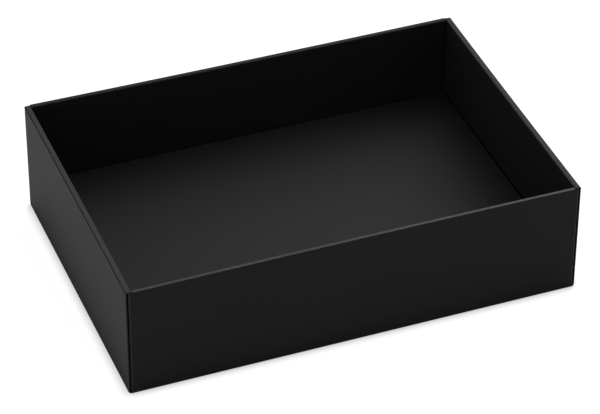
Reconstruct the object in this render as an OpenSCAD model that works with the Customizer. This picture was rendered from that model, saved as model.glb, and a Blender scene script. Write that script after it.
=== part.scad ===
// Open gift box of folded black board, with double walls, flat rims and a raised floor.
// The outer skin, rims, inner skin and corner tabs are panels of one creased sheet, and
// the raised floor is a shallow tray that stands inside, upside down.
// Front is -Y, the long side runs along X, and the ground is z = 0.

/* [Box] */
// Length of the box, along its front
box_l = 305; // [220:5:400]
// Depth of the box, from front to back
box_d = 211; // [150:1:280]
// Height of the walls above the ground
box_h = 79.5; // [50:0.5:110]

/* [Board] */
// Thickness of the board
board_t = 0.95; // [0.75:0.05:1.3]
// Opening left along the outside of each crease
crease_gap = 0.16; // [0.1:0.02:0.24]

/* [Walls] */
// Slack inside a folded wall, between its outer panel and the layer behind
wall_slack = 0.9; // [0.5:0.05:1.2]
// Clearance between a corner tab and the inner panel of its end wall
tab_clear = 0.2; // [0.15:0.05:0.5]
// Step back from the front and back faces to the ends of an end wall's outer panel
end_setback = 0.7; // [0.4:0.1:2]
// Step back from the front and back faces to the ends of an end wall's rim strip
rim_setback = 1; // [0.3:0.1:2]
// Gap at each inner corner, between the panels that meet there
corner_gap = 0.4; // [0.25:0.05:1]
// Gap between the lower edge of an inner panel and the level of the raised floor
lip_gap = 0.35; // [0.2:0.05:1.5]

/* [Corner tabs] */
// Length of a corner tab, from its crease to its free end
tab_l = 46; // [25:1:65]
// Size of the slanted corners at a tab's free end
tab_slant = 9; // [3:1:18]

/* [Raised floor] */
// Height of the raised floor's upper face above the ground
floor_h = 20; // [10:1:35]
// Clearance between the raised floor and the inner panels around it
floor_clear = 0.7; // [0.3:0.1:1.5]

/* [Hidden] */

// Distances of the outer faces from the middle of the box
half_l = box_l / 2;
half_d = box_d / 2;
// Half of the opening along a crease, which each of its two panels gives up
crease_half = crease_gap / 2;
// Depth of the outer layer of a wall, with the slack behind it
skin_depth = board_t + wall_slack;
// Thickness of the front and back walls: outer panel, slack and inner panel
long_wall = skin_depth + board_t;
// Thickness of the end walls: outer panel, slack, corner tab, clearance and inner panel
end_wall = skin_depth + board_t + tab_clear + board_t;

// Half length of the front and back outer panels, which fit between the end outer panels
long_outer_half = half_l - skin_depth;
// Half length of the front and back rims and inner panels, between the end walls
long_inner_half = half_l - end_wall - corner_gap;
// Half lengths of the end outer panels, rim strips and inner panels
end_outer_half = half_d - end_setback;
end_rim_half = half_d - rim_setback;
end_inner_half = half_d - long_wall - corner_gap;

// Top of the outer panels' creases, and of the parts that pass under an end rim strip
crease_top = box_h - crease_half;
under_rim = box_h - board_t - crease_gap;
// Lower edge of the inner panels, just above the raised floor
inner_low = floor_h + lip_gap;

// Half sizes of the raised floor, and the lower edge of its skirts, on the base panel
floor_half_l = half_l - end_wall - floor_clear;
floor_half_d = half_d - long_wall - floor_clear;
skirt_low = board_t;
// Setback of the end skirts, which stand between the long skirts
skirt_setback = board_t + crease_gap;

// Colours of the outer skin, the rims, the inner skin, the hidden tabs and the floor
outer_tone = "#2b2b2c";
rim_tone = "#3e3e40";
inner_tone = "#222223";
tab_tone = "#343436";
floor_tone = "#2f2f31";

// A flat panel of board from (x0, y0) to (x1, y1). Its finished face is z = 0 and the
// board lies below. folds names its edges x0, x1, y0 and y1 in turn: an edge with a 1
// slopes in at 45 degrees, as half of a crease, and an edge with a 0 is cut square.
module panel(x0, x1, y0, y1, folds) {
    intersection() {
        translate([0, y1, 0])
            rotate([90, 0, 0])
                linear_extrude(y1 - y0)
                    polygon(board_section(x0, x1, folds[0], folds[1]));
        translate([x0, 0, 0])
            rotate([90, 0, 90])
                linear_extrude(x1 - x0)
                    polygon(board_section(y0, y1, folds[2], folds[3]));
    }
}

// Section through a panel from a to b, sloped at the ends that have a fold
function board_section(a, b, fold_a, fold_b) = [
    [a, 0],
    [a + fold_a * board_t, -board_t],
    [b - fold_b * board_t, -board_t],
    [b, 0]
];

// Puts a wall, drawn as the front one with its outer face on y = 0, on its own side
module on_front() {
    translate([0, -half_d, 0]) children();
}

module on_back() {
    rotate([0, 0, 180]) on_front() children();
}

module on_left() {
    rotate([0, 0, -90]) translate([0, -half_l, 0]) children();
}

module on_right() {
    rotate([0, 0, 180]) on_left() children();
}

// Stands a panel up with its finished face outwards, or inwards at a depth in the wall
module facing_out() {
    rotate([90, 0, 0]) children();
}

module facing_in(depth) {
    translate([0, depth, 0]) rotate([90, 0, 180]) children();
}

// The base, face down, creased along all four sides
module base_panel() {
    color(outer_tone)
        rotate([180, 0, 0])
            panel(
                crease_half - half_l, half_l - crease_half,
                crease_half - half_d, half_d - crease_half,
                [1, 1, 1, 1]
            );
}

// A front or back outer panel: creased to the base, to its rim and, at both ends, to the
// corner tabs. Its shoulders are cut lower, because the end rim strips pass over them.
module long_outer_panel() {
    shoulder_w = long_outer_half - long_inner_half;
    color(outer_tone)
        difference() {
            facing_out()
                panel(
                    crease_half - long_outer_half, long_outer_half - crease_half,
                    crease_half, crease_top,
                    [1, 1, 1, 1]
                );
            for (side = [-1, 1])
                translate([side * (long_inner_half + shoulder_w), 0, under_rim + board_t])
                    cube([2 * shoulder_w, 4 * board_t, 2 * board_t], center = true);
        }
}

// A front or back rim strip, creased to the outer panel and to the inner panel
module long_rim_strip() {
    color(rim_tone)
        translate([0, 0, box_h])
            panel(
                -long_inner_half, long_inner_half,
                crease_half, long_wall - crease_half,
                [0, 0, 1, 1]
            );
}

// A front or back inner panel, which hangs from its rim strip
module long_inner_panel() {
    color(inner_tone)
        facing_in(long_wall)
            panel(-long_inner_half, long_inner_half, inner_low, crease_top, [0, 0, 0, 1]);
}

// An end wall's outer panel, creased to the base and to its rim strip
module end_outer_panel() {
    color(outer_tone)
        facing_out()
            panel(-end_outer_half, end_outer_half, crease_half, crease_top, [0, 0, 1, 1]);
}

// An end wall's rim strip, which runs over the corners
module end_rim_strip() {
    color(rim_tone)
        translate([0, 0, box_h])
            panel(
                -end_rim_half, end_rim_half,
                crease_half, end_wall - crease_half,
                [0, 0, 1, 1]
            );
}

// An end wall's inner panel, which hangs from its rim strip
module end_inner_panel() {
    color(inner_tone)
        facing_in(end_wall)
            panel(-end_inner_half, end_inner_half, inner_low, crease_top, [0, 0, 0, 1]);
}

// The corner tab at the left of a front or back wall. It is creased to the outer panel's
// end, and lies inside the end wall, behind that wall's outer panel.
module left_tab() {
    tab_low = board_t + crease_gap;
    color(tab_tone)
        translate([-long_outer_half, 0, 0])
            rotate([90, 0, -90])
                intersection() {
                    panel(-tab_l, -crease_half, tab_low, under_rim, [0, 1, 0, 0]);
                    translate([0, 0, -board_t])
                        linear_extrude(board_t)
                            polygon([
                                [0, tab_low],
                                [0, under_rim],
                                [tab_slant - tab_l, under_rim],
                                [-tab_l, under_rim - tab_slant],
                                [-tab_l, tab_low + tab_slant],
                                [tab_slant - tab_l, tab_low]
                            ]);
                }
}

// The corner tab at the right of a front or back wall
module right_tab() {
    mirror([1, 0, 0]) left_tab();
}

// The raised floor's upper panel, creased to its four skirts
module floor_panel() {
    color(floor_tone)
        translate([0, 0, floor_h])
            panel(
                crease_half - floor_half_l, floor_half_l - crease_half,
                crease_half - floor_half_d, floor_half_d - crease_half,
                [1, 1, 1, 1]
            );
}

// A skirt of the raised floor, which stands on the base and holds the floor up
module floor_skirt(half_length) {
    color(floor_tone)
        facing_out()
            panel(-half_length, half_length, skirt_low, floor_h - crease_half, [0, 0, 0, 1]);
}

// A skirt under the front edge of the raised floor, and one under its left edge
module long_skirt() {
    translate([0, -floor_half_d, 0]) floor_skirt(floor_half_l);
}

module end_skirt() {
    rotate([0, 0, -90])
        translate([0, -floor_half_l, 0])
            floor_skirt(floor_half_d - skirt_setback);
}

base_panel();
on_front() long_outer_panel();  // front_outer_panel
on_back() long_outer_panel();  // back_outer_panel
on_left() end_outer_panel();  // left_outer_panel
on_right() end_outer_panel();  // right_outer_panel
on_front() long_rim_strip();  // front_rim_strip
on_back() long_rim_strip();  // back_rim_strip
on_left() end_rim_strip();  // left_rim_strip
on_right() end_rim_strip();  // right_rim_strip
on_front() long_inner_panel();  // front_inner_panel
on_back() long_inner_panel();  // back_inner_panel
on_left() end_inner_panel();  // left_inner_panel
on_right() end_inner_panel();  // right_inner_panel
on_front() left_tab();  // front_left_tab
on_front() right_tab();  // front_right_tab
on_back() right_tab();  // back_left_tab
on_back() left_tab();  // back_right_tab
floor_panel();
long_skirt();  // floor_front_skirt
rotate([0, 0, 180]) long_skirt();  // floor_back_skirt
end_skirt();  // floor_left_skirt
rotate([0, 0, 180]) end_skirt();  // floor_right_skirt
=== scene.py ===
"""Looks, light and camera for an open gift box of folded black board.

The box is one creased blank with double walls, and a raised floor stands inside it. Every
panel is rebuilt here as real board, with rounded folds, cut edges and a plain reverse, in
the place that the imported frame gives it. Shapes are worked out in millimetres and become
metres at the end. Front is -Y, the long side runs along X, and the ground is z = 0.
"""

import logging
import math
from dataclasses import dataclass
from enum import Enum
from typing import Callable, Sequence

import bmesh
import bpy
from mathutils import Matrix, Quaternion, Vector


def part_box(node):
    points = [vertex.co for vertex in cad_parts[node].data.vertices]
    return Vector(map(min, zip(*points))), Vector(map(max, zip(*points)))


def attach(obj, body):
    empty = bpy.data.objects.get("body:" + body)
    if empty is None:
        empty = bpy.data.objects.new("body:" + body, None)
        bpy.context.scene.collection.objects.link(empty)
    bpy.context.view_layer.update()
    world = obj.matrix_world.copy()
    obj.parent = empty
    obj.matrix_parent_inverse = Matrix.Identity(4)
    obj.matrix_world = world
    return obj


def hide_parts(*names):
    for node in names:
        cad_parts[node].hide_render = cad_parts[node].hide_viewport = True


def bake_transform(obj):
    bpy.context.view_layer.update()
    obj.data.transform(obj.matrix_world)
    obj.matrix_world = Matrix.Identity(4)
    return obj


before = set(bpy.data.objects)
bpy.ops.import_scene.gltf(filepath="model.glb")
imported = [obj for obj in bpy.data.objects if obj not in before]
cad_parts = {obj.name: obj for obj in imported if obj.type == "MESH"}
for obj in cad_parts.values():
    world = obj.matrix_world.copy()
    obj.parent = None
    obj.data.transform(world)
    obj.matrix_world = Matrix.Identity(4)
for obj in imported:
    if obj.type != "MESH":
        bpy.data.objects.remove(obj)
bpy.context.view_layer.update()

LOG = logging.getLogger("gift_box")
MM = 0.001
# How near a normal's share of a direction comes to 1 where a face counts as looking that way
SQUARE_ON = 0.94
# Tolerances in millimetres, for picking edges by their place and for joining cut points
PICK = 1e-3
WELD = 1e-4
# Corners sharper than this, in degrees, stay crisp in the shading
CRISP_ANGLE = 50.0
# Where the boards get cross edges to bow along: the step along a wall, and heights
STATION_STEP = 12.5
STATION_HEIGHTS = (20.0, 40.0, 60.0)
# How many faces a rounding has across: on a soft edge, a worn edge, a crease and a corner
SOFT_FACES = 2
EDGE_FACES = 3
CREASE_FACES = 4
CORNER_FACES = 5
# How far the face's fibres are drawn out, and how close a cut edge's plies lie, as scales
FIBRE_SCALE = 0.18
PLY_SCALE = 0.08
# How strong each finer octave of a noise is, and how many octaves a rich and a plain one have
NOISE_ROUGHNESS = 0.55
RICH_DETAIL = 3.0
PLAIN_DETAIL = 1.0
# The directions in which a board's lower corner is cut round, in degrees from straight down
FOOT_CUTS = (22.5, 45.0, 67.5)
Point = tuple[float, float]


def grey(level: float) -> tuple[float, float, float, float]:
    """A neutral colour from its sRGB level.

    Args:
        level: the grey on the 0 to 255 scale.

    Returns:
        The colour in linear light, with full alpha.
    """
    share = level / 255
    linear = share / 12.92 if share <= 0.04045 else ((share + 0.055) / 1.055) ** 2.4
    return (linear, linear, linear, 1.0)


class Side(Enum):
    """The four walls: a name, and the turn about Z that puts the front wall there."""

    FRONT = ("front", 0.0)
    RIGHT = ("right", 90.0)
    BACK = ("back", 180.0)
    LEFT = ("left", 270.0)

    @property
    def word(self) -> str:
        """The wall's name as the frame spells it."""
        return self.value[0]

    @property
    def turn(self) -> Matrix:
        """The wall's turn about Z."""
        return Matrix.Rotation(math.radians(self.value[1]), 4, "Z")

    @property
    def is_long(self) -> bool:
        """True for the front and back walls."""
        return self in (Side.FRONT, Side.BACK)


class Axis(Enum):
    """An axis of the box, as the lie of the board's grain or across its plies."""

    X = 0
    Y = 1
    Z = 2

    @property
    def along(self) -> Vector:
        """The unit vector along the axis."""
        return Vector([float(k == self.value) for k in range(3)])


class Surface(Enum):
    """What a face of the board can show."""

    FACE = 0
    LINING = 1
    REVERSE = 2
    CORE = 3
    # FOLD is lighter than the face, partly from wear and partly as a painted highlight on the
    # rounded edges
    FOLD = 4
    # RIM is lighter than the face, partly from rubbing and partly as a painted sheen that stands in
    # for the reflection of the white surroundings
    RIM = 5


class Signal:
    """A node's output, with arithmetic that adds Math nodes to its tree."""

    def __init__(self, recipe: "Recipe", socket: bpy.types.NodeSocket | None) -> None:
        """Keeps the recipe that the output belongs to."""
        self.recipe = recipe
        self.socket = socket

    def _math(self, operation: str, first: object, second: object) -> "Signal":
        """A Math node of that operation on two operands."""
        return self.recipe.node("ShaderNodeMath", {"operation": operation}, {0: first, 1: second})

    def __add__(self, other: object) -> "Signal":
        """self + other"""
        return self._math("ADD", self, other)

    def __radd__(self, other: object) -> "Signal":
        """other + self"""
        return self._math("ADD", other, self)

    def __sub__(self, other: object) -> "Signal":
        """self - other"""
        return self._math("SUBTRACT", self, other)

    def __rsub__(self, other: object) -> "Signal":
        """other - self"""
        return self._math("SUBTRACT", other, self)

    def __mul__(self, other: object) -> "Signal":
        """self * other"""
        return self._math("MULTIPLY", self, other)

    def __rmul__(self, other: object) -> "Signal":
        """other * self"""
        return self._math("MULTIPLY", other, self)

    def __or__(self, other: object) -> "Signal":
        """The greater of self and other"""
        return self._math("MAXIMUM", self, other)


class Recipe:
    """Writes a node tree for a material or the world."""

    def __init__(self, owner: bpy.types.Material | bpy.types.World) -> None:
        """Empties the owner's node tree and takes it over.

        Args:
            owner: the material or world that is dressed.
        """
        owner.use_nodes = True
        self.tree = owner.node_tree
        self.tree.nodes.clear()

    def node(self, kind: str, settings: dict, inputs: dict, output: int | str = 0) -> Signal:
        """Adds a node.

        Args:
            kind: the node's type name.
            settings: the node's own settings, set before its sockets.
            inputs: the value or the Signal for each input, by name or number.
            output: the output that the Signal stands for.

        Returns:
            That output.
        """
        made = self.tree.nodes.new(kind)
        for name, value in settings.items():
            setattr(made, name, value)
        for name, value in inputs.items():
            if isinstance(value, Signal):
                self.tree.links.new(value.socket, made.inputs[name])
            else:
                made.inputs[name].default_value = value
        return Signal(self, made.outputs[output]) if made.outputs else Signal(self, None)

    def noise(self, place: Signal, size_mm: float, detail: float) -> Signal:
        """A noise pattern.

        Args:
            place: the coordinates that it reads, in metres.
            size_mm: the rough size of its blotches.
            detail: how many finer octaves it has.

        Returns:
            The pattern, from 0 to 1 around 0.5.
        """
        inputs = {
            "Vector": place,
            "Scale": 1 / (size_mm * MM),
            "Detail": detail,
            "Roughness": NOISE_ROUGHNESS,
        }
        return self.node("ShaderNodeTexNoise", {}, inputs)

    def mix(self, share: Signal, first: tuple, second: tuple) -> Signal:
        """Mixes two colours, at inputs 6 and 7, by a share that is clamped to 0 and 1."""
        settings = {"data_type": "RGBA", "clamp_factor": True}
        return self.node("ShaderNodeMix", settings, {0: share, 6: first, 7: second}, 2)


@dataclass(frozen=True)
class BoardFinish:
    """One surface of the board. Tones are sRGB greys, and sizes are in millimetres.

    The stretch draws the fibres out along one axis, or presses the plies of a cut edge
    together across one.
    """

    name: str
    tone: float = 27.5
    swing: float = 4.0
    roughness: float = 0.62
    shine: float = 0.118
    stretch: tuple[float, float, float] = (FIBRE_SCALE, 1.0, 1.0)
    fibre: float = 0.45
    cloud: float = 11.0
    tooth: float = 0.22
    drift: float = 90.0
    fibre_share: float = 0.9
    cloud_share: float = 0.5
    drift_share: float = 0.5
    uneven_gloss: float = 0.06
    tooth_share: float = 0.4
    relief: float = 0.02
    relief_strength: float = 0.25

    def build(self) -> bpy.types.Material:
        """Makes the material.

        Returns:
            The new material, which reads only Object coordinates.
        """
        material = bpy.data.materials.new(self.name)
        recipe = Recipe(material)
        place = recipe.node("ShaderNodeTexCoord", {}, {}, "Object")
        drawn = recipe.node("ShaderNodeMapping", {}, {"Vector": place, "Scale": self.stretch})
        fibres = recipe.noise(drawn, self.fibre, RICH_DETAIL)
        tooth = recipe.noise(place, self.tooth, PLAIN_DETAIL)
        clouds = recipe.noise(place, self.cloud, RICH_DETAIL)
        drift = recipe.noise(place, self.drift, PLAIN_DETAIL)
        broad = (clouds - 0.5) * self.cloud_share + (drift - 0.5) * self.drift_share
        share = 0.5 + (fibres - 0.5) * self.fibre_share + broad
        shades = (grey(self.tone - self.swing), grey(self.tone + self.swing))
        height = fibres * (1 - self.tooth_share) + tooth * self.tooth_share
        inputs = {"Height": height, "Strength": self.relief_strength, "Distance": self.relief * MM}
        bump = recipe.node("ShaderNodeBump", {}, inputs)
        inputs = {
            "Base Color": recipe.mix(share, *shades),
            "Roughness": self.roughness + (clouds - 0.5 + drift - 0.5) * self.uneven_gloss,
            "Specular IOR Level": self.shine,
            "Normal": bump,
        }
        board = recipe.node("ShaderNodeBsdfPrincipled", {}, inputs)
        recipe.node("ShaderNodeOutputMaterial", {}, {"Surface": board})
        return material


class Finishes:
    """The board's finishes, each made once and kept by name."""

    def __init__(self) -> None:
        """Starts with none made."""
        self.made: dict[str, bpy.types.Material] = {}

    def _get(self, finish: BoardFinish) -> bpy.types.Material:
        """The material of a finish, made at its first use.

        Args:
            finish: the finish.

        Returns:
            Its material.
        """
        if finish.name not in self.made:
            self.made[finish.name] = finish.build()
        return self.made[finish.name]

    @staticmethod
    def _pull(axis: Axis, on_axis: float, off_axis: float) -> tuple[float, float, float]:
        """A stretch that differs on one axis."""
        return tuple(on_axis if k == axis.value else off_axis for k in range(3))

    def get(self, surface: Surface, grain: Axis, plies: Axis) -> bpy.types.Material:
        """The material of a surface on a piece of board.

        Args:
            surface: what it shows.
            grain: the axis that the fibres of the piece's face run along.
            plies: the axis across its thickness.

        Returns:
            The material, the same one for the same finish.
        """
        along = self._pull(grain, FIBRE_SCALE, 1.0)
        across = self._pull(plies, 1.0, PLY_SCALE)
        finishes = {
            Surface.FACE: BoardFinish(f"black_face_{grain.name.lower()}", stretch=along),
            Surface.LINING: BoardFinish(
                f"black_lining_{grain.name.lower()}", tone=25.0, roughness=0.52, stretch=along
            ),
            Surface.REVERSE: BoardFinish(
                "black_reverse",
                tone=31.0,
                swing=5.0,
                roughness=0.75,
                stretch=(0.5, 0.5, 0.5),
                relief=0.04,
            ),
            Surface.CORE: BoardFinish(
                f"black_core_{plies.name.lower()}",
                tone=44.0,
                swing=14.0,
                roughness=0.8,
                stretch=across,
                fibre=0.3,
                relief=0.05,
                relief_strength=0.5,
            ),
            # The fold finish is lighter partly from wear and partly as a painted highlight, where
            # light catches the rounded folds and edges
            Surface.FOLD: BoardFinish(
                "worn_fold_painted_highlight",
                tone=52.0,
                swing=24.0,
                roughness=0.5,
                stretch=(0.4, 0.4, 0.4),
                fibre=0.7,
            ),
            # The rim finish is lighter partly from rubbing and partly as a painted sheen, in place
            # of the white surroundings' reflection on the rims
            Surface.RIM: BoardFinish(
                "rubbed_rim_painted_sheen",
                tone=34.0,
                swing=20.0,
                roughness=0.57,
                shine=0.12,
                stretch=(0.7, 0.7, 0.7),
                fibre=0.8,
                relief=0.06,
                relief_strength=0.6,
            ),
        }
        return self._get(finishes[surface])


class BoardShape:
    """A piece of board in the making: a bmesh in millimetres and the operators on it.

    A wall's pieces are shaped as on the front wall. X runs along it, Y goes in from its
    outer face, and Z is the height.
    """

    def __init__(self, facing: Axis, outward: float) -> None:
        """Starts with an empty mesh.

        Args:
            facing: the axis that the finished face looks along.
            outward: 1 or -1, the direction on that axis.
        """
        self.mesh = bmesh.new()
        self.facing = facing.along * outward

    @classmethod
    def block(cls, low: Sequence, high: Sequence, facing: Axis, outward: float) -> "BoardShape":
        """A flat board between two corners.

        Args:
            low: its lowest corner.
            high: its highest corner.
            facing: the axis that the finished face looks along.
            outward: 1 or -1, the direction on that axis.

        Returns:
            The board.
        """
        shape = cls(facing, outward)
        bmesh.ops.create_cube(shape.mesh, size=1.0)
        size = Vector(high) - Vector(low)
        bmesh.ops.scale(shape.mesh, vec=size, verts=shape.mesh.verts)
        bmesh.ops.translate(shape.mesh, vec=Vector(low) + size / 2, verts=shape.mesh.verts)
        shape._paint()
        return shape

    @classmethod
    def bar(
        cls, section: Sequence[Point], half: float, facing: Axis, outward: float
    ) -> "BoardShape":
        """A bar along X.

        Args:
            section: its section's corners in turn, as (y, z).
            half: half of its length.
            facing: the axis that the finished face looks along.
            outward: 1 or -1, the direction on that axis.

        Returns:
            The closed bar.
        """
        shape = cls(facing, outward)
        end = shape.mesh.faces.new([shape.mesh.verts.new((-half, y, z)) for y, z in section])
        shape._extrude([end], Vector((2 * half, 0, 0)))
        bmesh.ops.recalc_face_normals(shape.mesh, faces=shape.mesh.faces)
        shape._paint()
        return shape

    def _paint(self) -> None:
        """Gives each face its surface, by how it lies to the finished face."""
        for side in self.mesh.faces:
            side.normal_update()
            towards = side.normal.dot(self.facing)
            kind = Surface.CORE
            if abs(towards) > SQUARE_ON:
                kind = Surface.FACE if towards > 0 else Surface.REVERSE
            side.material_index = kind.value

    def paint_where(self, chosen: Callable[[Vector, Vector], bool], surface: Surface) -> None:
        """Gives a surface to some faces.

        Args:
            chosen: says from a face's middle and normal whether it is one of them.
            surface: what they show.
        """
        for side in self.mesh.faces:
            side.normal_update()
            if chosen(side.calc_center_median(), side.normal):
                side.material_index = surface.value

    def _extrude(self, faces: list, step: Vector) -> None:
        """Extrudes faces as one region.

        Args:
            faces: the faces.
            step: how far and which way.
        """
        grown = bmesh.ops.extrude_face_region(self.mesh, geom=faces)
        moved = [part for part in grown["geom"] if isinstance(part, bmesh.types.BMVert)]
        bmesh.ops.translate(self.mesh, vec=step, verts=moved)

    def _parts(self) -> list:
        """Every vertex, edge and face."""
        return [*self.mesh.verts, *self.mesh.edges, *self.mesh.faces]

    def cut(self, point: Sequence, away: Sequence) -> None:
        """Cuts off what lies beyond a plane and closes the cut.

        Args:
            point: a point on the plane.
            away: the direction of what goes.
        """
        found = bmesh.ops.bisect_plane(
            self.mesh,
            geom=self._parts(),
            dist=WELD,
            plane_co=point,
            plane_no=away,
            clear_outer=True,
        )
        rim = [part for part in found["geom_cut"] if isinstance(part, bmesh.types.BMEdge)]
        for face in bmesh.ops.contextual_create(self.mesh, geom=rim)["faces"]:
            face.material_index = Surface.CORE.value

    def score(self, axis: Axis, stations: Sequence[float]) -> None:
        """Adds edges across the piece, so that it can bow.

        Args:
            axis: the axis that the places are on.
            stations: the places.
        """
        for place in stations:
            spot = axis.along * place
            bmesh.ops.bisect_plane(
                self.mesh, geom=self._parts(), dist=WELD, plane_co=spot, plane_no=axis.along
            )

    def round_off(
        self,
        axis: Axis,
        chosen: Callable[[Vector], bool],
        radius: float,
        segments: int,
        surface: Surface,
    ) -> None:
        """Rounds edges that run along an axis.

        Args:
            axis: the axis that they run along.
            chosen: says from an edge's middle whether it is one of them.
            radius: the rounding.
            segments: how many faces it has across.
            surface: what its faces show.
        """
        edges = []
        for edge in self.mesh.edges:
            first, second = (vert.co for vert in edge.verts)
            is_along = abs((second - first).normalized().dot(axis.along)) > 1 - PICK
            if is_along and chosen((first + second) / 2):
                edges.append(edge)
        self._bevel(edges, radius, segments, surface)

    def round_rim(self, height: float, radius: float, segments: int, surface: Surface) -> None:
        """Rounds the whole outline at a height, as round_off does.

        Args:
            height: the height.
            radius: the rounding.
            segments: how many faces it has across.
            surface: what its faces show.
        """
        edges = [
            edge
            for edge in self.mesh.edges
            if all(abs(vert.co.z - height) < PICK for vert in edge.verts)
        ]
        self._bevel(edges, radius, segments, surface)

    def _bevel(self, edges: list, radius: float, segments: int, surface: Surface) -> None:
        """Bevels edges and gives the new faces their surface.

        Args:
            edges: the edges.
            radius: the rounding.
            segments: how many faces it has across.
            surface: what its faces show.
        """
        made = bmesh.ops.bevel(
            self.mesh,
            geom=edges,
            offset=radius,
            offset_type="OFFSET",
            segments=segments,
            profile=0.5,
            affect="EDGES",
            material=-1,
            clamp_overlap=True,
        )
        for face in made["faces"]:
            face.material_index = surface.value

    def to_mesh(self, name: str, place: Matrix) -> bpy.types.Mesh:
        """Puts the shape in its place and makes it a mesh in metres.

        Args:
            name: the mesh's name.
            place: where it goes, in millimetres.

        Returns:
            The mesh, smooth over its roundings.
        """
        bmesh.ops.transform(self.mesh, matrix=Matrix.Scale(MM, 4) @ place, verts=self.mesh.verts)
        bmesh.ops.recalc_face_normals(self.mesh, faces=self.mesh.faces)
        for side in self.mesh.faces:
            side.smooth = True
        for edge in self.mesh.edges:
            edge.smooth = edge.calc_face_angle(0.0) < math.radians(CRISP_ANGLE)
        mesh = bpy.data.meshes.new(name)
        self.mesh.to_mesh(mesh)
        self.mesh.free()
        return mesh


@dataclass(frozen=True)
class Settling:
    """How the folded board gives.

    The walls bow in, the rims dip a little towards the inside, and one corner rides up.
    """

    half_l: float
    half_d: float
    height: float
    long_depth: float
    end_depth: float
    front_bow: float = 0.7
    back_bow: float = 0.3
    left_bow: float = 0.25
    right_bow: float = 0.35
    corner_lift: float = 1.0
    rim_dip: float = 0.4
    dip_reach: float = 9.0
    wall_reach: float = 6.0
    rise_power: float = 1.5
    lift_power: int = 3

    def __call__(self, spot: Vector) -> Vector:
        """Where a point of a wall comes to lie.

        Args:
            spot: the point in metres, before the board gives.

        Returns:
            The point after it.
        """
        x, y, z = spot / MM
        from_end = (self.half_l - abs(x)) / self.end_depth
        from_front = (self.half_d - abs(y)) / self.long_depth
        inwards = min(1.0, from_end, from_front)
        near_top = max(0.0, 1 - (self.height - z) / self.dip_reach)
        rise = max(0.0, min(1.0, z / self.height)) ** self.rise_power
        across = max(0.0, 1 - (x / self.half_l) ** 2) * rise
        deep = max(0.0, 1 - (y / self.half_d) ** 2) * rise
        if y < self.wall_reach - self.half_d:
            y += self.front_bow * across
        elif y > self.half_d - self.wall_reach:
            y -= self.back_bow * across
        if x < self.wall_reach - self.half_l:
            x += self.left_bow * deep
        elif x > self.half_l - self.wall_reach:
            x -= self.right_bow * deep
        leftness = max(0.0, (self.half_l - x) / (2 * self.half_l))
        backness = max(0.0, (self.half_d + y) / (2 * self.half_d))
        z += self.corner_lift * rise * (leftness * backness) ** self.lift_power
        z -= self.rim_dip * max(0.0, inwards) * near_top
        return Vector((x, y, z)) * MM


class Maker:
    """Turns finished shapes into pieces that ride on the frame."""

    def __init__(self, settling: Settling) -> None:
        """Keeps how the walls settle, and starts the finishes."""
        self.settling = settling
        self.finishes = Finishes()

    def piece(
        self, shape: BoardShape, name: str, place: Matrix, grain: Axis, plies: Axis
    ) -> bpy.types.Object:
        """Makes an object of a shape, dressed and in its place.

        Args:
            shape: the finished shape.
            name: the piece's name.
            place: where it goes, in millimetres.
            grain: the axis that the fibres of its face run along.
            plies: the axis across its thickness.

        Returns:
            The object, at the origin, with its place in its mesh.
        """
        piece = bpy.data.objects.new(name, shape.to_mesh(name, place))
        bpy.context.scene.collection.objects.link(piece)
        shown = sorted({face.material_index for face in piece.data.polygons})
        for face in piece.data.polygons:
            face.material_index = shown.index(face.material_index)
        for index in shown:
            piece.data.materials.append(self.finishes.get(Surface(index), grain, plies))
        piece.modifiers.new("even_shading", "WEIGHTED_NORMAL").keep_sharp = True
        return piece

    def settle(self, piece: bpy.types.Object) -> None:
        """Lets a piece of a wall give as the board does."""
        for vert in piece.data.vertices:
            vert.co = self.settling(vert.co)

    def fix(self, piece: bpy.types.Object, body: str, slot: str, *nodes: str) -> None:
        """Ties a piece to the frame.

        Args:
            piece: the piece.
            body: the body that it rides on.
            slot: the record's slot for its finish. It is not used.
            nodes: the CAD nodes that it stands for.
        """
        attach(piece, body)
        if nodes:
            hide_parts(*nodes)
        stands_for = ", ".join(nodes) or "no node"
        LOG.info("%s rides on %s and stands for %s", piece.name, body, stands_for)


def box_mm(node: str) -> tuple[Vector, Vector]:
    """A CAD node's lowest and highest corners, in millimetres."""
    low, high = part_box(node)
    return low / MM, high / MM


@dataclass(frozen=True)
class FoldShape:
    """The section of a fold between two boards, from its outer corner, in millimetres.

    The boards stop short of the mitre by half of the band between them. The fold fills it.
    Its outside is a plain rounding or, where ridge isn't 0, a scored valley between two ridges.
    """

    leg: float
    web: float
    radius: float
    ridge: float = 0.0
    valley: float = 0.0
    band: float = 0.1
    segments: int = 5

    def board_end(self, thickness: float) -> list[Point]:
        """The end of a board at the fold, from its finished face in, as (in, along)."""
        mitred = [(inwards, -inwards - self.band) for inwards in (self.web, thickness)]
        return [(0.0, -self.leg), *mitred]

    def section(self, thickness: float) -> list[Point]:
        """The fold's own section, which is the same about its 45 degree line.

        Args:
            thickness: the board's.

        Returns:
            Its corners in turn, as (y, z).
        """
        lower = self.board_end(thickness)
        upper = [(-z, -y) for y, z in reversed(lower)]
        outside = [(0.0, 0.0)]
        if self.ridge:
            outside = [(self.ridge, 0.0), (self.valley, -self.valley), (0.0, -self.ridge)]
        return [*lower, (thickness, -thickness), *upper, *outside]

    def is_outside_edge(self, middle: Vector) -> bool:
        """True for the edges along the fold that are rounded."""
        on_face = abs(middle.y) < PICK or abs(middle.z) < PICK
        return on_face and abs(middle.y - middle.z - self.ridge) < PICK

    def is_face(self, middle: Vector, normal: Vector) -> bool:
        """True for the faces of the valley and of the wall's outside."""
        in_valley = self.ridge > 0 and middle.y < self.ridge and middle.z > -self.ridge
        return in_valley or -normal.y > SQUARE_ON


SCORED_FOLD = FoldShape(leg=0.9, web=0.72, radius=0.2, ridge=0.62, valley=0.64, segments=3)
CRISP_FOLD = FoldShape(leg=0.62, web=0.3, radius=0.3, segments=4)
ROUNDED_FOLD = FoldShape(leg=0.62, web=0.3, radius=0.6)


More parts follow.
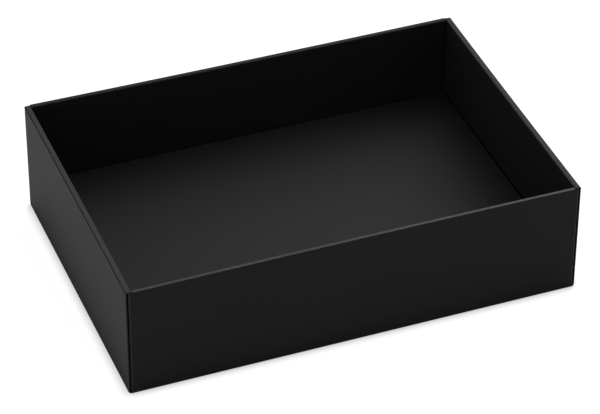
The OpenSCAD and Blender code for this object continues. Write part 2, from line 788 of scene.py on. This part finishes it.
@dataclass
class Wall:
    """One double wall: outer skin, rim strip, inner lining and the two folds between them."""

    side: Side
    reach: float
    depth: float
    height: float
    board: float
    foot: float
    outer_half: float
    rim_half: float
    inner_half: float
    inner_low: float
    outer_fold: FoldShape
    inner_fold: FoldShape = ROUNDED_FOLD
    corner_radius: float = 0.9
    foot_radius: float = 1.2
    edge_radius: float = 0.5
    soft: float = 0.12
    end_room: float = 3.0

    @classmethod
    def from_frame(cls, side: Side) -> "Wall":
        """Reads a wall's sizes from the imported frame.

        Args:
            side: which wall.

        Returns:
            The wall, with its sizes in millimetres.
        """
        deep, along = (1, 0) if side.is_long else (0, 1)
        outer_low, outer_high = box_mm(f"{side.word}_outer_panel")
        inner_low, inner_high = box_mm(f"{side.word}_inner_panel")
        rim_high = box_mm(f"{side.word}_rim_strip")[1]
        tab_high = box_mm("front_right_tab")[1]
        reach = max(abs(outer_low[deep]), abs(outer_high[deep]))
        inner_face = min(abs(inner_low[deep]), abs(inner_high[deep]))
        return cls(
            side=side,
            reach=reach,
            depth=reach - inner_face,
            height=rim_high.z,
            board=outer_high[deep] - outer_low[deep],
            foot=box_mm("base_panel")[1].z,
            outer_half=tab_high.x if side.is_long else outer_high[along],
            rim_half=rim_high[along],
            inner_half=inner_high[along],
            inner_low=inner_low.z,
            outer_fold=CRISP_FOLD if side.is_long else SCORED_FOLD,
        )

    @property
    def place(self) -> Matrix:
        """From the front wall's own frame to this wall's place."""
        return self.side.turn @ Matrix.Translation((0, -self.reach, 0))

    @property
    def grain(self) -> Axis:
        """The blank's grain, which stands upright on the end walls."""
        return Axis.X if self.side.is_long else Axis.Z

    @property
    def plies(self) -> Axis:
        """The axis across the wall's boards."""
        return Axis.Y if self.side.is_long else Axis.X

    @property
    def top_surface(self) -> Surface:
        """What the rim shows on top, painted by how light falls on it. The front rim gets the worn
        fold finish, lighter as a painted highlight, the end rims get the rim finish with its
        painted sheen, and the back rim, in shade, gets the plain face.
        """
        return {Side.FRONT: Surface.FOLD, Side.BACK: Surface.FACE}.get(self.side, Surface.RIM)

    @staticmethod
    def _is_top(middle: Vector, normal: Vector) -> bool:
        """True for a face that looks up."""
        return normal.z > SQUARE_ON

    def _stations(self) -> list[float]:
        """Places along the wall where its boards may bow."""
        count = int((self.outer_half - self.end_room) // STATION_STEP)
        return [STATION_STEP * k for k in range(-count, count + 1)]

    def _top_end(self, inwards: bool) -> list[Point]:
        """The upper end of a board.

        Args:
            inwards: True for the lining's, False for the skin's.

        Returns:
            Its corners, as (y, z).
        """
        if inwards:
            end = self.inner_fold.board_end(self.board)
            return [(self.depth - y, self.height + z) for y, z in end]
        return [(y, self.height + z) for y, z in self.outer_fold.board_end(self.board)]

    def skin(self, maker: Maker) -> None:
        """Builds the outer skin, from the base to the rim's fold.

        Its end corners are rounded before its top is cut to the fold's mitre.

        Args:
            maker: makes the piece.
        """
        mitre = self._top_end(False)
        top = mitre[1][1]
        section = [(0.0, self.foot), (0.0, top), (self.board, top), (self.board, self.foot)]
        shape = BoardShape.bar(section, self.outer_half, Axis.Y, -1)
        # The upright corners' roundings take the fold finish, lighter partly from wear and partly
        # as a painted highlight along the edge
        if self.side.is_long:
            rounding_look = (self.corner_radius, CORNER_FACES, Surface.FOLD)
            shape.round_off(Axis.Z, self._is_outer_corner, *rounding_look)
            self._round_feet(shape)
        else:
            rounding_look = (self.edge_radius, EDGE_FACES, Surface.FOLD)
            shape.round_off(Axis.Z, self._is_outer_corner, *rounding_look)
            shape.round_off(Axis.Z, self._is_inner_corner, self.soft, SOFT_FACES, Surface.CORE)
        for (y, z), (next_y, next_z) in zip(mitre, mitre[1:]):
            shape.cut((0, y, z), (0, z - next_z, next_y - y))
        shape.score(Axis.X, self._stations())
        shape.score(Axis.Z, STATION_HEIGHTS)
        skin = maker.piece(shape, f"{self.side.word}_skin", self.place, self.grain, self.plies)
        maker.settle(skin)
        maker.fix(skin, "tray", "outer_board", f"{self.side.word}_outer_panel")

    def _is_outer_corner(self, middle: Vector) -> bool:
        """True for the upright outer edges at the skin's ends."""
        return abs(middle.x) > self.outer_half - PICK and middle.y < PICK

    def _is_inner_corner(self, middle: Vector) -> bool:
        """True for the upright inner edges at the skin's ends."""
        return abs(middle.x) > self.outer_half - PICK and middle.y > self.board - PICK

    def _round_feet(self, shape: BoardShape) -> None:
        """Rounds the lower corners of a skin's ends, with three cuts each.

        Args:
            shape: the skin.
        """
        for end in (-1, 1):
            out = end * (self.outer_half - self.foot_radius)
            centre = Vector((out, 0, self.foot + self.foot_radius))
            for tilt in FOOT_CUTS:
                angle = math.radians(tilt)
                away = Vector((end * math.sin(angle), 0, -math.cos(angle)))
                shape.cut(centre + away * self.foot_radius, away)

    def rim(self, maker: Maker) -> None:
        """Builds the flat rim strip between its two folds.

        Args:
            maker: makes the piece.
        """
        outer = self.outer_fold.board_end(self.board)
        inner = self.inner_fold.board_end(self.board)
        section = [(-z, self.height - y) for y, z in outer]
        section += [(self.depth + z, self.height - y) for y, z in reversed(inner)]
        shape = BoardShape.bar(section, self.rim_half, Axis.Z, 1)
        shape.paint_where(self._is_top, self.top_surface)
        shape.score(Axis.X, self._stations())
        rim = maker.piece(shape, f"{self.side.word}_rim", self.place, Axis.X, Axis.Z)
        maker.settle(rim)
        maker.fix(rim, f"{self.side.word}_rim", "rim_board", f"{self.side.word}_rim_strip")

    def lining(self, maker: Maker) -> None:
        """Builds the inner lining, which hangs from the rim to just above the raised floor.

        Args:
            maker: makes the piece.
        """
        section = [
            (self.depth, self.inner_low),
            *self._top_end(True),
            (self.depth - self.board, self.inner_low),
        ]
        shape = BoardShape.bar(section, self.inner_half, Axis.Y, 1)
        shape.paint_where(lambda middle, normal: normal.y > SQUARE_ON, Surface.LINING)
        shape.round_off(Axis.Z, lambda middle: True, self.soft, SOFT_FACES, Surface.CORE)
        shape.score(Axis.X, self._stations())
        shape.score(Axis.Z, STATION_HEIGHTS)
        name = f"{self.side.word}_lining"
        lining = maker.piece(shape, name, self.place, self.grain, self.plies)
        maker.settle(lining)
        maker.fix(lining, name, "inner_board", f"{self.side.word}_inner_panel")

    def folds(self, maker: Maker) -> None:
        """Builds the two folds between the skin, the rim and the lining.

        Args:
            maker: makes the pieces.
        """
        word = self.side.word
        skin_half = self.rim_half if self.side.is_long else self.outer_half
        self._fold(maker, "outer", skin_half, ("tray", f"{word}_rim"))
        self._fold(maker, "inner", self.inner_half, (f"{word}_rim", f"{word}_lining"))

    def _fold(self, maker: Maker, which: str, board_half: float, bodies: tuple[str, str]) -> None:
        """Builds one fold.

        Args:
            maker: makes the piece.
            which: outer, between skin and rim, or inner, between rim and lining.
            board_half: half length of its upright board. The rim's end may stand further out.
            bodies: the two bodies that it lies between, in turn, which are only logged.
        """
        plan = self.outer_fold if which == "outer" else self.inner_fold
        shape = BoardShape.bar(plan.section(self.board), board_half, Axis.Z, 1)
        shape.paint_where(plan.is_face, Surface.FACE)
        shape.paint_where(self._is_top, self.top_surface)
        # The ridges' roundings take the fold finish, lighter partly from wear and partly as a
        # painted highlight. The end walls' inner folds take the rim finish with its painted sheen,
        # and the back wall's take the plain face, in shade.
        rounding_look = Surface.FOLD if self.side.is_long or which == "outer" else Surface.RIM
        rounding_look = Surface.FACE if self.side is Side.BACK else rounding_look
        shape.round_off(Axis.X, plan.is_outside_edge, plan.radius, plan.segments, rounding_look)
        for vert in shape.mesh.verts:
            share = max(0.0, min(1.0, 0.5 + (vert.co.y + vert.co.z) / (2 * plan.leg)))
            vert.co.x += math.copysign(share * (self.rim_half - board_half), vert.co.x)
        shape.score(Axis.X, self._stations())
        place = self.place @ Matrix.Translation((0, 0, self.height))
        half_band = plan.band / 2
        start, end = Vector((0, -half_band, -half_band)), Vector((0, half_band, half_band))
        if which == "inner":
            place = self.place @ Matrix.Translation((0, self.depth, self.height))
            place = place @ Matrix.Scale(-1, 4, (0, 1, 0))
            start, end = end, start
        fold = maker.piece(shape, f"{self.side.word}_{which}_fold", place, self.grain, Axis.Z)
        place @ start * MM
        place @ end * MM
        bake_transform(fold)
        maker.settle(fold)
        LOG.info("%s bends between %s and %s", fold.name, *bodies)

    def build(self, maker: Maker) -> None:
        """Builds the whole wall.

        Args:
            maker: makes the pieces.
        """
        self.skin(maker)
        self.rim(maker)
        self.lining(maker)
        self.folds(maker)


@dataclass(frozen=True)
class CornerTabs:
    """The tabs that run on from the long skins' ends, inside the end walls."""

    slant: float = 9.0

    def build(self, maker: Maker, wall: Wall) -> None:
        """Builds the two tabs of a long wall.

        Args:
            maker: makes the pieces.
            wall: the front or back wall.
        """
        low, high = box_mm("front_right_tab")
        length = high.y + wall.reach
        for end in (-1, 1):
            near, far = sorted((end * wall.outer_half, end * (wall.outer_half - wall.board)))
            shape = BoardShape.block((near, wall.board, low.z), (far, length, high.z), Axis.X, end)
            for edge, up in ((low.z, -1), (high.z, 1)):
                shape.cut((0, length - self.slant, edge), (0, 1, up))
            shape.score(Axis.Z, STATION_HEIGHTS)
            shape.score(Axis.Y, (STATION_STEP, 2 * STATION_STEP))
            is_left = (end < 0) == (wall.side is Side.FRONT)
            name = f"{wall.side.word}_{'left' if is_left else 'right'}_tab"
            tab = maker.piece(shape, f"{name}_board", wall.place, Axis.Y, Axis.X)
            maker.settle(tab)
            maker.fix(tab, "tray", "tab_board", name)


@dataclass(frozen=True)
class Base:
    """The base, whose lower edge is the fold that the skins stand on."""

    fold_radius: float = 0.6
    corner_radius: float = 2.0

    def build(self, maker: Maker, front: Wall, left: Wall) -> None:
        """Builds the base between the outer faces of the walls.

        Args:
            maker: makes the piece.
            front: the front wall, for the depth.
            left: the left wall, for the length.
        """
        low = (-left.reach, -front.reach, 0.0)
        high = (left.reach, front.reach, front.foot)
        shape = BoardShape.block(low, high, Axis.Z, -1)
        shape.round_off(Axis.Z, lambda middle: True, self.corner_radius, CORNER_FACES, Surface.FACE)
        shape.round_rim(0.0, self.fold_radius, CREASE_FACES, Surface.FACE)
        base = maker.piece(shape, "base_board", Matrix.Identity(4), Axis.X, Axis.Z)
        maker.fix(base, "tray", "outer_board", "base_panel")


@dataclass(frozen=True)
class RaisedFloor:
    """The raised floor with its four skirts, which lifts out as one."""

    fold_radius: float = 0.6
    corner_radius: float = 0.5
    soft: float = 0.12

    def build(self, maker: Maker) -> None:
        """Builds the floor and its skirts.

        Args:
            maker: makes the pieces.
        """
        long_low, long_high = box_mm("floor_front_skirt")
        end_low, end_high = box_mm("floor_left_skirt")
        panel_low, panel_high = box_mm("floor_panel")
        half_l, half_d = -end_low.x, -long_low.y
        low = (-half_l, -half_d, panel_low.z)
        shape = BoardShape.block(low, (half_l, half_d, panel_high.z), Axis.Z, 1)
        # Its rounded edges take the fold finish, lighter partly from wear and partly as a painted
        # highlight
        shape.round_off(Axis.Z, lambda middle: True, self.corner_radius, SOFT_FACES, Surface.FOLD)
        shape.round_rim(panel_high.z, self.fold_radius, CREASE_FACES, Surface.FOLD)
        panel = maker.piece(shape, "floor_board", Matrix.Identity(4), Axis.X, Axis.Z)
        maker.fix(panel, "raised_floor", "floor_board", "floor_panel")
        thickness = long_high.y - long_low.y
        for side in Side:
            reach, half = (half_d, long_high.x) if side.is_long else (half_l, end_high.y)
            low = (-half, 0.0, long_low.z)
            shape = BoardShape.block(low, (half, thickness, panel_low.z), Axis.Y, -1)
            shape.round_off(Axis.Z, lambda middle: True, self.soft, SOFT_FACES, Surface.CORE)
            place = side.turn @ Matrix.Translation((0, -reach, 0))
            grain, plies = (Axis.X, Axis.Y) if side.is_long else (Axis.Z, Axis.X)
            skirt = maker.piece(shape, f"floor_{side.word}_skirt_board", place, grain, plies)
            maker.fix(skirt, "raised_floor", "floor_board", f"floor_{side.word}_skirt")


@dataclass(frozen=True)
class Lamp:
    """A soft square lamp that looks at the box. Sizes are in metres.

    Its level is what it adds to a white matt surface that faces it from the box's place.
    """

    name: str
    azimuth: float
    elevation: float
    level: float
    size: float = 0.9
    distance: float = 1.6
    aim: float = 0.04

    def build(self) -> None:
        """Adds the lamp."""
        light = bpy.data.lights.new(self.name, "AREA")
        light.size = self.size
        light.energy = self.level * (math.pi * self.distance) ** 2
        lamp = bpy.data.objects.new(self.name, light)
        bpy.context.scene.collection.objects.link(lamp)
        away = direction(self.azimuth, self.elevation)
        lamp.location = away * self.distance + Vector((0, 0, self.aim))
        lamp.rotation_euler = away.to_track_quat("Z", "Y").to_euler()


def direction(azimuth: float, elevation: float) -> Vector:
    """The unit vector from the box towards a place round it.

    Args:
        azimuth: degrees round it, 0 in front and 90 at its right.
        elevation: degrees above the ground.

    Returns:
        The vector.
    """
    around, above = math.radians(azimuth), math.radians(elevation)
    level = math.cos(above)
    return Vector((math.sin(around) * level, -math.cos(around) * level, math.sin(above)))


@dataclass(frozen=True)
class Studio:
    """The pale floor, the white surroundings and the lamps."""

    ambient: float = 0.02
    bounce: float = 30.0
    floor_white: float = 0.97
    floor_shading: float = 0.2
    floor_half: float = 6.0
    floor_drop: float = 0.0002
    contact_shadow: float = 0.36
    contact_reach: float = 0.006
    mirrored_shadow: float = 0.78
    mirrored_reach: float = 0.036
    shadow_samples: int = 8
    lamps: tuple[Lamp, ...] = (
        Lamp("right", 90.0, 35.0, 0.26),
        Lamp("back_right", 135.0, 35.0, 0.38),
        Lamp("back_right_top", 135.0, 60.0, 0.29),
        Lamp("left", -90.0, 35.0, 0.08),
        Lamp("front", 0.0, 35.0, 0.08),
        Lamp("front_left_low", -50.0, 8.0, 0.13),
    )

    @staticmethod
    def _seen(recipe: Recipe) -> Signal:
        """Tells what is seen from what only lights matt surfaces.

        Args:
            recipe: the recipe that it is for.

        Returns:
            1 for what the camera, a gloss or glass sees, and 0 for the rest.
        """
        camera = recipe.node("ShaderNodeLightPath", {}, {}, "Is Camera Ray")
        gloss = recipe.node("ShaderNodeLightPath", {}, {}, "Is Glossy Ray")
        glass = recipe.node("ShaderNodeLightPath", {}, {}, "Is Transmission Ray")
        return camera | gloss | glass

    def _world(self) -> None:
        """A white world, which lights the box only as the ambient level says."""
        world = bpy.data.worlds.new("white_surroundings")
        recipe = Recipe(world)
        white, faint = (
            recipe.node("ShaderNodeBackground", {}, {"Color": grey(255), "Strength": strength})
            for strength in (1.0, self.ambient)
        )
        inputs = {0: self._seen(recipe), 1: faint, 2: white}
        shader = recipe.node("ShaderNodeMixShader", {}, inputs)
        recipe.node("ShaderNodeOutputWorld", {}, {"Surface": shader})
        world.cycles.sampling_method = "NONE"
        bpy.context.scene.world = world

    def _shaded_white(self, recipe: Recipe, depth: float, reach: float) -> Signal:
        """The floor's white, dimmed where the box stands close.

        An upright wall closes off half of what a point right beside it could see, so the
        loss is doubled.

        Args:
            recipe: the floor's recipe.
            depth: how much is lost right beside the box.
            reach: how far from the box it is, in metres.

        Returns:
            The strength of the floor's glow.
        """
        settings = {"samples": self.shadow_samples}
        openness = recipe.node("ShaderNodeAmbientOcclusion", settings, {"Distance": reach}, "AO")
        return self.floor_white * (1 - 2 * depth * (1 - openness))

    def _floor(self) -> None:
        """A pale floor that keeps the box's shadow, and a softer one in what the gloss mirrors."""
        material = bpy.data.materials.new("pale_floor")
        material.cycles.emission_sampling = "NONE"
        recipe = Recipe(material)
        matt = recipe.node("ShaderNodeBsdfDiffuse", {}, {"Color": grey(self.bounce)})
        shade = (self.floor_shading, self.floor_shading, self.floor_shading, 1.0)
        shaded = recipe.node("ShaderNodeBsdfDiffuse", {}, {"Color": shade})
        direct = self._shaded_white(recipe, self.contact_shadow, self.contact_reach)
        mirrored = self._shaded_white(recipe, self.mirrored_shadow, self.mirrored_reach)
        gloss = recipe.node("ShaderNodeLightPath", {}, {}, "Is Glossy Ray")
        white = direct + gloss * (mirrored - direct)
        glow = recipe.node("ShaderNodeEmission", {}, {"Color": grey(255), "Strength": white})
        pale = recipe.node("ShaderNodeAddShader", {}, {0: glow, 1: shaded})
        shader = recipe.node("ShaderNodeMixShader", {}, {0: self._seen(recipe), 1: matt, 2: pale})
        recipe.node("ShaderNodeOutputMaterial", {}, {"Surface": shader})
        shape = bmesh.new()
        bmesh.ops.create_grid(shape, x_segments=1, y_segments=1, size=self.floor_half)
        bmesh.ops.translate(shape, vec=(0, 0, -self.floor_drop), verts=shape.verts)
        mesh = bpy.data.meshes.new("studio_floor")
        shape.to_mesh(mesh)
        shape.free()
        mesh.materials.append(material)
        floor = bpy.data.objects.new("studio_floor", mesh)
        bpy.context.scene.collection.objects.link(floor)

    def build(self) -> None:
        """Builds the surroundings and sets the plain view."""
        bpy.context.scene.view_settings.view_transform = "Standard"
        self._world()
        self._floor()
        for lamp in self.lamps:
            lamp.build()


@dataclass(frozen=True)
class Shot:
    """The photograph's view, fitted to the box's corners. Places are in metres."""

    azimuth: float = -21.25
    elevation: float = 36.98
    distance: float = 1.97
    target: tuple[float, float, float] = (-0.00275, -0.0112, 0.0393)
    lens: float = 181.54
    roll: float = 0.29
    nearest: float = 0.1
    furthest: float = 20.0

    def build(self) -> None:
        """Adds the camera and makes it the scene's."""
        data = bpy.data.cameras.new("photo_view")
        data.lens = self.lens
        data.clip_start = self.nearest
        data.clip_end = self.furthest
        camera = bpy.data.objects.new("photo_view", data)
        back = direction(self.azimuth, self.elevation)
        camera.location = Vector(self.target) + back * self.distance
        camera.rotation_mode = "QUATERNION"
        level = (-back).to_track_quat("-Z", "Y")
        camera.rotation_quaternion = level @ Quaternion((0, 0, 1), math.radians(self.roll))
        bpy.context.scene.collection.objects.link(camera)
        bpy.context.scene.camera = camera


def main() -> None:
    """Builds the shot, the studio and every piece of the box."""
    logging.basicConfig(level=logging.INFO, format="%(name)s: %(message)s")
    Shot().build()
    Studio().build()
    walls = {side: Wall.from_frame(side) for side in Side}
    front, left = walls[Side.FRONT], walls[Side.LEFT]
    maker = Maker(Settling(left.reach, front.reach, front.height, front.depth, left.depth))
    Base().build(maker, front, left)
    for side, wall in walls.items():
        wall.build(maker)
        if side.is_long:
            CornerTabs().build(maker, wall)
    RaisedFloor().build(maker)


if __name__ == "__main__":
    main()
